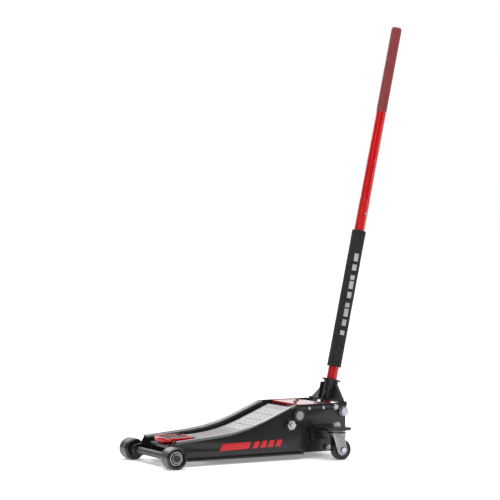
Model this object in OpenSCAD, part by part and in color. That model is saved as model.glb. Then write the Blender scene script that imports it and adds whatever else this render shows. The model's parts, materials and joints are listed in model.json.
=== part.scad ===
// Low-profile trolley jack with a two-piece handle. +X points to the saddle end, +Y to the left side, +Z up.
// Every piece is drawn from the front axle's centre line; place() then moves it to the jack's own origin,
// which is on the floor, half way between the front wheels and the top of the handle.

/* [Frame] */
// Distance from the front axle to the lift arm's pivot
reach = 409; // [380:1:500]
// Distance from the lift arm's pivot to the rear edge of the side plates
rear_len = 155; // [150:1:190]
// Clear width between the two side plates
plate_gap = 174; // [160:1:210]
// Thickness of a side plate
plate_t = 5; // [3:0.5:6]
// Width of the flanges that stand out from the side plates
flange_w = 14; // [8:1:18]
// Height of the top of the frame above the floor
frame_h = 152; // [152:1:180]

/* [Front wheels] */
// Diameter of a front wheel
wheel_d = 60; // [56:1:72]
// Width of a front wheel
wheel_w = 48; // [34:1:58]
// Diameter of the front axle
axle_d = 20; // [16:1:22]

/* [Casters] */
// Diameter of a caster wheel
caster_d = 57; // [48:1:58]
// Width of a caster wheel
caster_w = 22; // [16:1:26]
// Distance that a caster wheel trails behind its stem
trail = 12; // [6:1:16]
// Distance from the side plate to the outer edge of a caster bracket
bracket_w = 103; // [98:1:125]

/* [Lift arm] */
// Diameter of the lift arm's shaft
shaft_d = 24; // [18:1:28]
// Clear gap between the lift arm and a side plate
arm_gap = 12; // [12:0.5:18]
// Thickness of the lift arm's plates
arm_t = 6; // [4:0.5:8]
// Radius from the lift arm's shaft to the pin that the ram pushes
horn_r = 45; // [42:1:48]

/* [Saddle] */
// Diameter of the saddle
saddle_d = 105; // [90:1:112]
// Height of the saddle's rim above the floor when it is down
saddle_top = 74; // [72:1:80]

/* [Handle] */
// Diameter of the handle tube
tube_d = 30; // [25:1:34]
// Wall of the handle tubes
tube_wall = 2; // [1.5:0.5:3]
// Distance from the handle's pivot to the top of the handle
handle_len = 1128; // [900:1:1360]
// Length of the knurled grip
grip_len = 251; // [120:1:300]
// Length of the foam sleeve
foam_len = 400; // [200:1:420]
// Thickness of the foam sleeve
foam_t = 4.7; // [3:0.1:8]
// Angle that the handle leans back when it stands up, in degrees
handle_tilt = 12.3; // [5:0.1:20]

/* [Hidden] */

$fn = 64;

// Clearances: running fit of a pin in its hole (on the radius), and the gap between parts that pass each other
run = 0.05;
gap = 0.3;

// Half widths, measured from the middle plane of the jack
in_y = plate_gap / 2;
out_y = in_y + plate_t;
arm_y = in_y - arm_gap;

// Front axle and wheels
axle_z = wheel_d / 2;
wheel_in_y = out_y + flange_w + 1;
wheel_out_y = wheel_in_y + wheel_w;
hub_recess = 12;
bearing_t = 3;
bearing_d = axle_d + 18;
ring_t = 2;
ring_groove = 1;

// Main shaft, link pivot, and the parallelogram that keeps the saddle level
shaft_x = -reach;
shaft_z = frame_h - 30;
link_dx = 28.4;
link_dz = -25.2;
link_x = shaft_x + link_dx;
link_z = shaft_z + link_dz;
link_pin_x = -40;
link_pin_z = saddle_top - 50;
head_x = link_pin_x - link_dx;
head_z = link_pin_z - link_dz;
link_pin_d = 12;
link_bolt_d = 14;
head_pin_d = 14;

// Saddle and its head
saddle_x = -64;
saddle_h = 16.7;
saddle_z = saddle_top - saddle_h;
stem_d = 22;
head_y = 56;

// Side plate outline
plate_bottom = 14;
rear_bottom = 17;
rear_x = shaft_x - rear_len;
rise_x = shaft_x + 21;
toe_x = -20;
toe_z = 70;
toe_slope = 0.08;
ramp_slope = 0.41;
step_x = shaft_x - 10;

// Handle pivot, and the frame's rear cross rods
yoke_x = rear_x + 9;
yoke_z = frame_h - 25;
yoke_d = 14;
upper_rod = [yoke_x + 26.4, yoke_z + 14];
lower_rod = [yoke_x + 52, 29];
upper_rod_d = 12;
lower_rod_d = 16;
rod_bolt_d = 8;

// Caster brackets and casters
bracket_x = shaft_x - 39;
bracket_len = 77;
bracket_z = 92;
bracket_t = 8;
bracket_drop = 40;
caster_y = out_y + bracket_w - 35;
caster_x = bracket_x - 46;
caster_stem_d = 12;
fork_t = 2.5;
fork_z = bracket_z - bracket_t - 6.5 - fork_t;
fork_y = caster_w / 2 + 3;
fork_r = 26;
fork_end_r = 15;
caster_pin_d = 8;

// Hydraulic unit, set out from the lift arm's shaft
horn_half_swing = 34;
horn_x = shaft_x - horn_r * sin(horn_half_swing);
horn_z = shaft_z - horn_r * cos(horn_half_swing);
ram_z = shaft_z - horn_r * (1 + cos(horn_half_swing)) / 2;
ram_d = 24;
ram_pin_d = 14;
piston_d = 30;
cylinder_d = 44;
cylinder_front = horn_x - 22;
cylinder_rear = horn_x - 90;
block_rear = cylinder_rear - 16;
block_front = cylinder_rear + 38;
block_y = 45;
block_low = 18;
block_step = 96;
block_top = 118;
spring_y = 55;

// Pump and release valve, set out from the handle's pivot
roller_r = 8;
roller_arm = 18;
roller_angle = 233;
roller_y = -28;
roller_w = 10;
plunger_d = 12;
plunger_z = yoke_z - 16;
plunger_gap = 0.8;
valve_angle = 37;
ball_r = 7;
valve_d = 8;
cup_r = 11;
gland_d = 15;

// Handle, measured along its own axis from its pivot
socket_top = 86;
socket_base = 26;
tube_start = 32;
joint_at = 618;
insert_len = 90;
foam_at = 122.6;
button_at = 573;
upper_d = tube_d - 1;

// Power cover
cover_front = shaft_x - 16;
cover_relief_x = shaft_x - 29;
cover_rear = upper_rod[0] + 24;
cover_y = in_y - 0.5;
cover_top = frame_h - 2;
cover_t = 2;
cover_rim = 1.4;
side_screws = [[shaft_x - 35, frame_h - 12], [shaft_x - 81, frame_h - 12]];
side_screw_d = 5;

// The jack's own origin is half way along its whole length
handle_tip_x = yoke_x - handle_len * sin(handle_tilt) - tube_d / 2 * cos(handle_tilt);
shift_x = -(axle_z + handle_tip_x) / 2;

black = [0.07, 0.07, 0.08];
red = [0.72, 0.04, 0.05];
silver = [0.78, 0.78, 0.8];
grey = [0.45, 0.45, 0.47];

// ---- Helpers ----

// Points of a rounded corner at b, between the directions to a and c; r = 0 keeps the sharp corner
function unit(v) = v / norm(v);
function corner(a, b, c, r) =
    r == 0 ? [b] :
    let (u = unit(a - b), w = unit(c - b))
    let (half = acos(u * w) / 2, reach_in = r / tan(half))
    let (centre = b + unit(u + w) * r / sin(half))
    let (p = b + u * reach_in - centre, q = b + w * reach_in - centre)
    let (turn = p[0] * q[1] - p[1] * q[0] > 0 ? 1 : -1, sweep = 180 - 2 * half)
    let (n = max(2, ceil(sweep / 9)))
    [for (i = [0 : n]) let (s = turn * sweep * i / n)
        centre + [p[0] * cos(s) - p[1] * sin(s), p[0] * sin(s) + p[1] * cos(s)]];

// Closed outline from corners given as [x, z, radius]
function xy(c) = [c[0], c[1]];
function rounded(cs) = let (n = len(cs)) [for (i = [0 : n - 1])
    each corner(xy(cs[(i + n - 1) % n]), xy(cs[i]), xy(cs[(i + 1) % n]), cs[i][2])];

module place() translate([shift_x, 0, 0]) children();
module both() {
    children();
    mirror([0, 1, 0]) children();
}
// A flat shape drawn in X and Z, made solid from y0 to y1
module slab(y0, y1) translate([0, y1, 0]) rotate([90, 0, 0]) linear_extrude(y1 - y0) children();
// Round bar along Y, from y0 to y1
module bar_y(d, y0, y1, x, z) slab(y0, y1) translate([x, z]) circle(d = d);
module ring_y(d_out, d_in, y0, y1, x, z) slab(y0, y1) translate([x, z]) difference() {
    circle(d = d_out);
    circle(d = d_in);
}
// Hexagon across its flats along Y
module hex_y(flats, y0, y1, x, z) slab(y0, y1) translate([x, z]) circle(d = flats / cos(30), $fn = 6);
// Shape turned about a Y axis, with its axis at x, z and its face at y = 0
module turned_y(x, y, z) translate([x, y, z]) rotate([-90, 0, 0]) rotate_extrude() children();
// Round bar along X, from x0 to x1
module bar_x(d, x0, x1, y, z) translate([x0, y, z]) rotate([0, 90, 0]) cylinder(d = d, h = x1 - x0);
// The handle's own frame: origin at its pivot, +Z along the handle
module on_handle() translate([yoke_x, 0, yoke_z]) rotate([0, -handle_tilt, 0]) children();

// ---- Frame ----

function ramp_z(x) = frame_h - ramp_slope * (x - rise_x);
bend_x = (toe_z - toe_slope * (0 - toe_x) - frame_h - ramp_slope * rise_x) / (toe_slope - ramp_slope);

module plate_outline(bottom) polygon(rounded([
    [axle_d - 4, bottom, 12],
    [axle_d - 4, axle_z + 16, 12],
    [-6, axle_z + 18, 8],
    [toe_x, toe_z, 6],
    [bend_x, ramp_z(bend_x), 480],
    [rise_x, frame_h, 60],
    [rear_x, frame_h, 22],
    [rear_x, bottom, 6]
]));

module plate_holes() {
    translate([0, axle_z]) circle(d = axle_d + 2 * run);
    translate([shaft_x, shaft_z]) circle(d = shaft_d + 2 * run);
    translate([link_x, link_z]) circle(d = link_bolt_d + 2 * run);
    translate([yoke_x, yoke_z]) circle(d = yoke_d + 2 * run);
    for (p = [upper_rod, lower_rod]) translate(p) circle(d = rod_bolt_d + 2 * run);
    for (p = side_screws) translate(p) circle(d = side_screw_d + 2 * run);
}

// Left side plate: a flat plate with a flange along its top edge, and one along its bottom as far as the casters
module side_plate() {
    slab(in_y, out_y) difference() {
        union() {
            plate_outline(rear_bottom);
            intersection() {
                plate_outline(plate_bottom);
                translate([step_x, 0]) square([reach, axle_z + 10]);
            }
        }
        plate_holes();
    }
    slab(out_y - 1, out_y + flange_w) intersection() {
        difference() {
            plate_outline(plate_bottom);
            translate([0, -plate_t]) plate_outline(plate_bottom);
        }
        translate([rise_x - 4, toe_z - 8]) square([toe_x - rise_x + 2, frame_h]);
    }
    slab(out_y - 1, out_y + flange_w) translate([step_x, plate_bottom]) square([toe_x - 12 - step_x, plate_t]);
}
module side_plate_left() color(black) side_plate();
module side_plate_right() color(black) mirror([0, 1, 0]) side_plate();

module front_axle() color(black) bar_y(axle_d, -axle_end, axle_end, 0, axle_z);
axle_end = wheel_out_y - hub_recess + bearing_t + ring_t + 3;

module axle_spacers() color(black) both()
    ring_y(axle_d + 9, axle_d + 2 * run, out_y, wheel_in_y - gap, 0, axle_z);

module axle_snap_rings() color(grey) both() {
    y = wheel_out_y - hub_recess + bearing_t + gap;
    ring_y(axle_d + 6, axle_d, y, y + ring_t, 0, axle_z);
}

module main_shaft() color(silver) difference() {
    bar_y(shaft_d, -out_y - 10, out_y + 10, shaft_x, shaft_z);
    both() ring_y(shaft_d - 7, shaft_d - 10, out_y + 9, out_y + 11, shaft_x, shaft_z);
}
module shaft_collars() color(black) both()
    ring_y(shaft_d + 12, shaft_d + 2 * run, out_y, out_y + 7, shaft_x, shaft_z);
module shaft_spacers() color(grey) both()
    ring_y(shaft_d + 10, shaft_d + 2 * run, arm_y + gap, in_y, shaft_x, shaft_z);

link_in_y = arm_y + 3;
module link_bolts() color(silver) both() {
    bar_y(link_bolt_d, link_in_y - 0.5, out_y + 20, link_x, link_z);
    bar_y(link_bolt_d + 8, arm_y + 0.6, link_in_y - 0.3, link_x, link_z);
}
module link_nuts() color(silver) both() {
    difference() {
        union() {
            hex_y(24, out_y + 4, out_y + 14, link_x, link_z);
            bar_y(34, out_y, out_y + 4, link_x, link_z);
        }
        bar_y(link_bolt_d, out_y - 1, out_y + 15, link_x, link_z);
    }
}

module upper_tie_rod() color(grey) bar_y(upper_rod_d, -in_y, in_y, upper_rod[0], upper_rod[1]);
module lower_tie_rod() color(black) bar_y(lower_rod_d, -in_y, in_y, lower_rod[0], lower_rod[1]);
module tie_rod_bolts() color(silver) both() for (p = [upper_rod, lower_rod]) {
    bar_y(rod_bolt_d, in_y, out_y + 2, p[0], p[1]);
    bar_y(16, out_y, out_y + 2, p[0], p[1]);
    hex_y(13, out_y + 2, out_y + 8, p[0], p[1]);
}

// ---- Front wheels ----

// Half profile of a wheel: radius across, width up, with rounded shoulders and a dished outer face
module wheel_profile() polygon(rounded([
    [axle_d / 2 + run, 0, 0], [axle_z, 0, 7], [axle_z, wheel_w, 7], [bearing_d / 2 + 3, wheel_w, 3],
    [bearing_d / 2 + 1, wheel_w - hub_recess, 0], [axle_d / 2 + run, wheel_w - hub_recess, 0]
]));
module front_wheel() turned_y(0, wheel_in_y, axle_z) wheel_profile();
module front_wheel_left() color(black) front_wheel();
module front_wheel_right() color(black) mirror([0, 1, 0]) front_wheel();

module wheel_bearing() {
    y = wheel_out_y - hub_recess;
    ring_y(bearing_d, axle_d + 1, y, y + bearing_t, 0, axle_z);
}
module wheel_bearing_left() color(silver) wheel_bearing();
module wheel_bearing_right() color(silver) mirror([0, 1, 0]) wheel_bearing();

// ---- Casters ----

module bracket_plan() polygon(rounded([
    [bracket_x, out_y, 0], [bracket_x, out_y + bracket_w, 6],
    [bracket_x - bracket_len, out_y + bracket_w, 14], [bracket_x - bracket_len, out_y, 0]
]));
module caster_bracket() {
    difference() {
        translate([0, 0, bracket_z - bracket_t]) linear_extrude(bracket_t) bracket_plan();
        translate([caster_x, caster_y, 0]) cylinder(d = caster_stem_d + 2 * run, h = bracket_z + 1);
    }
    slab(out_y, out_y + bracket_t) translate([bracket_x - bracket_len, bracket_z - bracket_drop])
        square([bracket_len, bracket_drop]);
}
module caster_bracket_left() color(black) caster_bracket();
module caster_bracket_right() color(black) mirror([0, 1, 0]) caster_bracket();

module caster_stems() color(silver) both() translate([caster_x, caster_y, 0]) {
    translate([0, 0, fork_z - 4]) cylinder(d = caster_stem_d, h = bracket_z + 14 - fork_z + 4);
    translate([0, 0, fork_z - 4 - gap]) cylinder(d = caster_stem_d + 8, h = 4);
}
module stem_nuts() color(silver) both() translate([caster_x, caster_y, bracket_z]) difference() {
    union() {
        cylinder(d = 24, h = 2);
        cylinder(d = 19 / cos(30), h = 11, $fn = 6);
    }
    translate([0, 0, -1]) cylinder(d = caster_stem_d, h = 13);
}
module caster_races() color(silver) both() translate([caster_x, caster_y, fork_z + fork_t + gap]) difference() {
    cylinder(d = 2 * fork_r - 8, h = bracket_z - bracket_t - fork_z - fork_t - gap);
    translate([0, 0, -1]) cylinder(d = caster_stem_d + 2 * run, h = 20);
}

wheel_x = caster_x - trail;
caster_z = caster_d / 2;
module fork_side() difference() {
    union() {
        translate([wheel_x, caster_z]) circle(r = fork_end_r);
        polygon([
            [wheel_x + fork_end_r, caster_z], [caster_x + fork_r - 4, fork_z + fork_t],
            [caster_x - fork_r / 2, fork_z + fork_t], [wheel_x - fork_end_r, caster_z]
        ]);
    }
    translate([wheel_x, caster_z]) circle(d = caster_pin_d + 2 * run);
}
module caster_fork() {
    translate([caster_x, caster_y, fork_z]) difference() {
        cylinder(r = fork_r, h = fork_t);
        translate([0, 0, -1]) cylinder(d = caster_stem_d + 2 * run, h = fork_t + 2);
    }
    translate([0, caster_y, 0]) both() slab(fork_y, fork_y + fork_t) fork_side();
}
module caster_fork_left() color(silver) caster_fork();
module caster_fork_right() color(silver) mirror([0, 1, 0]) caster_fork();

module caster_axle() translate([0, caster_y, 0]) {
    end_y = fork_y + fork_t;
    bar_y(caster_pin_d, -end_y - 1, end_y + 1, wheel_x, caster_z);
    both() bar_y(caster_pin_d + 6, end_y, end_y + 3, wheel_x, caster_z);
}
module caster_axle_left() color(silver) caster_axle();
module caster_axle_right() color(silver) mirror([0, 1, 0]) caster_axle();

module caster_wheel() turned_y(wheel_x, caster_y - caster_w / 2, caster_z) polygon(rounded([
    [caster_pin_d / 2 + run, -2, 0], [9, -2, 0], [9, 1.5, 0], [caster_z - 6, 1.5, 0], [caster_z - 5, 0, 0],
    [caster_z, 0, 5], [caster_z, caster_w, 5], [caster_z - 5, caster_w, 0], [caster_z - 6, caster_w - 1.5, 0],
    [9, caster_w - 1.5, 0], [9, caster_w + 2, 0], [caster_pin_d / 2 + run, caster_w + 2, 0]
]));
module caster_wheel_left() color(black) caster_wheel();
module caster_wheel_right() color(black) mirror([0, 1, 0]) caster_wheel();

// ---- Lift arm and its linkage ----

arm_nose = saddle_x - saddle_d / 2 - 5;
arm_rear = [shaft_x + 8, shaft_z + 21];
arm_toe = [head_x, head_z + 15];
arm_slope = 0.06;
arm_bend_x = (arm_toe[1] + arm_slope * arm_toe[0] - arm_rear[1] - ramp_slope * arm_rear[0])
    / (arm_slope - ramp_slope);
arm_bend = [arm_bend_x, arm_rear[1] - ramp_slope * (arm_bend_x - arm_rear[0])];

// Side view of the arm; the cheeks have all of it, the top plate only its upper edge
module arm_outline() polygon(rounded([
    [arm_toe[0], arm_toe[1], 0], [arm_bend[0], arm_bend[1], 450], [arm_rear[0], arm_rear[1], 5],
    [shaft_x - 14, arm_rear[1] - 3, 8], [shaft_x - 20, shaft_z - 26, 14],
    [arm_bend[0], head_z - 8, 300], [arm_toe[0], head_z - 16, 0]
]));
module arm_cheek() difference() {
    union() {
        arm_outline();
        translate([head_x, head_z]) circle(r = 17);
    }
    translate([head_x, head_z]) circle(d = head_pin_d + 2 * run);
    translate([shaft_x, shaft_z]) circle(d = shaft_d + 2 * run);
}
module horn_side() difference() {
    union() {
        translate([horn_x, horn_z]) circle(r = 14);
        translate([shaft_x, shaft_z]) rotate(-horn_half_swing) translate([-14, -horn_r]) square([28, horn_r]);
    }
    translate([horn_x, horn_z]) circle(d = ram_pin_d);
    translate([shaft_x, shaft_z]) circle(d = shaft_d + 2 * run);
}
module lift_arm() color(black) {
    both() slab(arm_y - arm_t, arm_y) arm_cheek();
    difference() {
        slab(-arm_y + 1, arm_y - 1) difference() {
            arm_outline();
            translate([0, -arm_t]) arm_outline();
            translate([shaft_x - 40, 0]) square([40 + 4, shaft_z + 15]);
            translate([head_x - 10, 0]) square([40, frame_h]);
        }
        translate([arm_nose, -head_y - 2, 0]) cube([saddle_d, 2 * head_y + 4, frame_h]);
        both() for (s = tongue_screws) on_tongue(s[0])
            translate([0, 0, -10]) cylinder(d = tongue_screw_d + 2 * run, h = 20);
    }
    ring_y(shaft_d + 12, shaft_d + 2 * run, -arm_y + 1, arm_y - 1, shaft_x, shaft_z);
    both() slab(16, 24) horn_side();
}

// Screws in the arm's two front tongues: place along the arm and head diameter
tongue_screws = [[head_x - 28, 14], [head_x - 44, 9]];
tongue_screw_d = 4;
module on_tongue(x) {
    top = arm_toe[1] - arm_slope * (x - arm_toe[0]);
    translate([x, (arm_y + head_y + 2) / 2, top]) rotate([0, atan(arm_slope), 0]) children();
}
module arm_screws() color(black) both() for (s = tongue_screws) on_tongue(s[0]) {
    translate([0, 0, -arm_t]) cylinder(d = tongue_screw_d, h = arm_t + 1);
    translate([0, 0, 0.02]) cylinder(d = s[1], h = 2.4);
    translate([0, 0, 2.4]) cylinder(d1 = s[1], d2 = s[1] * 0.6, h = 2.5);
}
module ram_cross_pin() color(grey) bar_y(ram_pin_d, -spring_y - 6, spring_y + 6, horn_x, horn_z);
module head_pivot_pins() color(grey) both() {
    bar_y(head_pin_d, head_y - 20, arm_y + 1, head_x, head_z);
}

module radius_link() slab(link_in_y, in_y - 1) difference() {
    union() {
        translate([link_x, link_z]) circle(r = 13);
        translate([link_pin_x, link_pin_z]) circle(r = 10);
        link_run = [link_pin_x - link_x, link_pin_z - link_z];
        translate([link_x, link_z]) rotate(atan2(link_run[1], link_run[0]))
            translate([0, -8]) square([norm(link_run), 16]);
    }
    translate([link_x, link_z]) circle(d = link_bolt_d + 2 * run);
    translate([link_pin_x, link_pin_z]) circle(d = link_pin_d + 2 * run);
}
module radius_link_left() color(grey) radius_link();
module radius_link_right() color(grey) mirror([0, 1, 0]) radius_link();
module link_pin() color(grey) bar_y(link_pin_d, -in_y + 0.6, in_y - 0.6, link_pin_x, link_pin_z);

// Saddle head: two cheeks, a top plate and a boss that the saddle's stem turns in
head_top = saddle_z - gap;
module head_side() polygon(rounded([
    [toe_x, head_top, 4], [head_x - 28, head_top, 4], [head_x - 28, head_z - 14, 12],
    [head_x - 8, link_pin_z - 9, 8], [toe_x, link_pin_z - 9, 8]
]));
module saddle_head() color(red) difference() {
    union() {
        both() slab(head_y - 14, head_y) head_side();
        slab(-head_y, head_y) intersection() {
            head_side();
            translate([head_x - 40, head_top - 10]) square([100, 20]);
        }
        translate([saddle_x, 0, link_pin_z + 8]) cylinder(d = stem_d + 16, h = head_top - link_pin_z - 9);
    }
    bar_y(head_pin_d + 2 * run, -head_y - 1, head_y + 1, head_x, head_z);
    bar_y(link_pin_d + 2 * run, -head_y - 1, head_y + 1, link_pin_x, link_pin_z);
    translate([saddle_x, 0, 0]) cylinder(d = stem_d + 2 * run, h = frame_h);
}

// ---- Saddle ----

pad_r = saddle_d / 2 - 13;
pad_floor = 7;
module saddle() color(red) translate([saddle_x, 0, saddle_z]) {
    difference() {
        rotate_extrude() polygon(rounded([
            [0, 0, 0], [saddle_d / 2 - 16, 0, 4], [saddle_d / 2, 6, 4], [saddle_d / 2, saddle_h, 3],
            [saddle_d / 2 - 10, saddle_h, 2], [pad_r + 1, pad_floor, 0], [0, pad_floor, 0]
        ]));
        for (a = [0 : 90 : 270]) rotate(a + 45) translate([saddle_d / 2 - 16, -7, saddle_h - 2.5]) cube([20, 14, 5]);
    }
    translate([0, 0, link_pin_z + 2 - saddle_z]) cylinder(d = stem_d, h = saddle_z - link_pin_z - 1);
}
module saddle_pad() color(grey) translate([saddle_x, 0, saddle_z + pad_floor]) cylinder(r = pad_r, h = 8);
module saddle_clip() color(grey) translate([saddle_x, 0, link_pin_z + 4]) difference() {
    cylinder(d = stem_d + 8, h = 3);
    translate([0, 0, -1]) cylinder(d = stem_d, h = 5);
}

// ---- Hydraulic unit ----

module pump_block() color(black) difference() {
    slab(-block_y, block_y) polygon([
        [block_rear, block_low], [block_front, block_low], [block_front, block_top],
        [block_rear + 12, block_top], [block_rear + 12, block_step], [block_rear, block_step]
    ]);
    bar_x(cylinder_d, cylinder_rear, block_front + 1, 0, ram_z);
    bar_x(plunger_d + 2 * run, block_rear, block_rear + 46, roller_y, plunger_z);
    bar_y(lower_rod_d + 2 * run, -block_y - 1, block_y + 1, lower_rod[0], lower_rod[1]);
    on_valve() translate([0, 0, 20]) cylinder(d = valve_d + 2 * run, h = 26);
    on_valve() translate([0, 0, 20]) cylinder(d = gland_d + 1, h = 12);
}
module ram_cylinder() color(grey) difference() {
    bar_x(cylinder_d, cylinder_rear, cylinder_front, 0, ram_z);
    bar_x(piston_d + 2 * run, cylinder_rear - 1, cylinder_front + 1, 0, ram_z);
}
module gland_nut() color(silver) difference() {
    bar_x(cylinder_d + 4, cylinder_front, cylinder_front + 3, 0, ram_z);
    bar_x(ram_d + 2 * run, cylinder_front - 1, cylinder_front + 4, 0, ram_z);
}

// Ram: piston, rod, and a flat head whose upright slot takes the lift arm's cross pin
slot_w = ram_pin_d + 2.6;
module ram() color(silver) difference() {
    union() {
        bar_x(piston_d, cylinder_rear + 0.5, cylinder_rear + 8, 0, ram_z);
        bar_x(ram_d, cylinder_rear + 7, horn_x - slot_w / 2 - 4, 0, ram_z);
        translate([horn_x - slot_w / 2 - 6, -14, ram_z - 17]) cube([slot_w + 12, 28, 34]);
    }
    translate([horn_x - slot_w / 2, -15, ram_z - 12.5]) cube([slot_w, 30, 25]);
}

function roller_at() = [
    yoke_x + roller_arm * cos(roller_angle + handle_tilt),
    yoke_z + roller_arm * sin(roller_angle + handle_tilt)
];
module pump_plunger() color(silver) {
    face = roller_at()[0] + roller_r + plunger_gap;
    bar_x(plunger_d, face + 3, block_rear + 26, roller_y, plunger_z);
    bar_x(plunger_d + 8, face, face + 4, roller_y, plunger_z);
}

// The release valve's own frame: origin at the handle's pivot, +Z down the valve's stem
module on_valve() translate([yoke_x, 0, yoke_z]) rotate([0, 180 - valve_angle, 0]) children();
module release_valve() color(silver) on_valve() {
    sphere(r = ball_r);
    cylinder(d = valve_d, h = 43);
    rotate([90, 0, 0]) cylinder(d = 3, h = 2 * cup_r - 2, center = true);
}
module valve_gland() color(silver) on_valve() difference() {
    translate([0, 0, 26]) cylinder(d = gland_d, h = 6);
    translate([0, 0, 25]) cylinder(d = valve_d + 2 * run, h = 8);
}
module filler_plug() color(silver) translate([block_front - 12, 24, block_top]) {
    cylinder(d = 14, h = 2);
    translate([0, 0, 1]) cylinder(d = 10 / cos(30), h = 6, $fn = 6);
}

// Return spring: a coil between two loops, one round the lower tie rod and one round the cross pin
spring_r = 6;
wire_d = 2.4;
module return_spring() {
    span = [horn_x, horn_z] - lower_rod;
    start = lower_rod_d / 2 + 4;
    coil = norm(span) - start - ram_pin_d / 2 - 4;
    turns = 10;
    translate([lower_rod[0], spring_y, lower_rod[1]]) rotate([0, 90 - atan2(span[1], span[0]), 0]) {
        translate([0, 0, start]) linear_extrude(coil, twist = -360 * turns, slices = 12 * turns, $fn = 8)
            translate([spring_r, 0]) circle(d = wire_d);
        for (e = [[0, lower_rod_d / 2 + 1.4], [norm(span), ram_pin_d / 2 + 1.4]]) translate([0, 0, e[0]])
            rotate([90, 0, 0]) rotate_extrude($fn = 32) translate([e[1], 0]) circle(d = wire_d, $fn = 16);
        for (z = [start - 2, start + coil - 2]) translate([0, 0, z]) cylinder(d = wire_d, h = 4);
        for (z = [start, start + coil]) translate([-1, -wire_d / 2, z - 1.2]) cube([spring_r + 1, wire_d, wire_d]);
    }
}
module return_spring_left() color(grey) return_spring();
module return_spring_right() color(grey) mirror([0, 1, 0]) return_spring();

// ---- Power cover ----

module cover_section() both_ways() polygon([
    [-0.1, cover_top - cover_t], [-0.1, cover_top], [cover_y - 9, cover_top], [cover_y - 4, cover_top + cover_rim],
    [cover_y, cover_top + cover_rim - 0.6], [cover_y, cover_top - 22], [cover_y - cover_t, cover_top - 22],
    [cover_y - cover_t, cover_top - cover_t], [cover_y - 9, cover_top - cover_t]
]);
module both_ways() for (m = [0, 1]) mirror([m, 0]) children();
module power_cover() color(red) difference() {
    union() {
        translate([cover_front, 0, 0]) rotate([90, 0, -90]) linear_extrude(cover_front - cover_rear) cover_section();
        translate([cover_front - cover_t, -cover_y + 1, cover_top - 6]) cube([cover_t, 2 * cover_y - 2, 5]);
    }
    translate([cover_relief_x, -in_y, cover_top - 30]) cube([40, 2 * in_y, 24]);
    for (p = side_screws) bar_y(side_screw_d, -in_y, in_y, p[0], p[1]);
    for (p = top_screws) translate([p[0], p[1], cover_top - 5]) cylinder(d = side_screw_d, h = 10);
}
top_screws = [[cover_front - 27, 0], [cover_rear + 10, cover_y - 25], [cover_rear + 10, 25 - cover_y]];
module cover_side_screws() color(silver) both() for (p = side_screws) {
    bar_y(side_screw_d, cover_y - cover_t - 3, out_y + 1, p[0], p[1]);
    turned_y(p[0], out_y, p[1]) polygon(rounded([[0, 0, 0], [5, 0, 0], [4.6, 3.4, 2], [0, 3.6, 0]]));
}
module cover_top_screws() color(silver) for (p = top_screws) translate([p[0], p[1], cover_top]) {
    translate([0, 0, -6]) cylinder(d = side_screw_d, h = 7);
    cylinder(d = 10 / cos(30), h = 5, $fn = 6);
}

// ---- Handle ----

module socket_web() polygon([
    [-in_y + 2, socket_base - 4], [in_y - 2, socket_base - 4], [in_y - 2, socket_base + 3],
    [tube_d / 2 + 8, socket_top - 6], [-tube_d / 2 - 8, socket_top - 6], [-in_y + 2, socket_base + 3]
]);
module handle_socket() color(black) on_handle() difference() {
    union() {
        translate([0, 0, socket_base - 3]) cylinder(d = tube_d + 12, h = socket_top - socket_base + 2);
        translate([0, 0, socket_top - 5]) cylinder(d = tube_d + 24, h = 5);
        translate([-4, 0, 0]) rotate([90, 0, 90]) linear_extrude(8) socket_web();
        translate([-12, -in_y + 2, socket_base - 4]) cube([24, 2 * in_y - 4, 7]);
        both() slab(in_y - 11, in_y - 1.5) {
            circle(r = 16);
            translate([-13, 0]) square([26, socket_base]);
        }
        both() translate([0, 10, socket_base]) cube([tube_d / 2 + 11, 5, socket_top - socket_base - 12]);
        for (y = [roller_y - roller_w / 2 - 5.5, roller_y + roller_w / 2 + 0.5]) slab(y, y + 5) {
            translate(lug) circle(r = 7);
            polygon([lug + [-7, 0], lug + [5, 0], [2, socket_base], [-11, socket_base]]);
        }
    }
    translate([0, 0, -20]) cylinder(d = tube_d + 2 * run, h = socket_top + 30);
    bar_y(yoke_d + 2 * run, -in_y, in_y, 0, 0);
    bar_y(8, roller_y - 20, roller_y + 20, lug[0], lug[1]);
}
lug = [roller_arm * cos(roller_angle), roller_arm * sin(roller_angle)];
module socket_pivot_bolts() color(silver) both() {
    bar_y(yoke_d, in_y - 13, out_y + 4, yoke_x, yoke_z);
    bar_y(yoke_d + 13, out_y, out_y + 3, yoke_x, yoke_z);
    hex_y(22, out_y + 3, out_y + 12, yoke_x, yoke_z);
}
module pump_roller() color(silver) on_handle() ring_y(
    2 * roller_r, 8 + 2 * run, roller_y - roller_w / 2, roller_y + roller_w / 2, lug[0], lug[1]);
module roller_pin() color(grey) on_handle()
    bar_y(8, roller_y - roller_w / 2 - 6.5, roller_y + roller_w / 2 + 6.5, lug[0], lug[1]);

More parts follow.
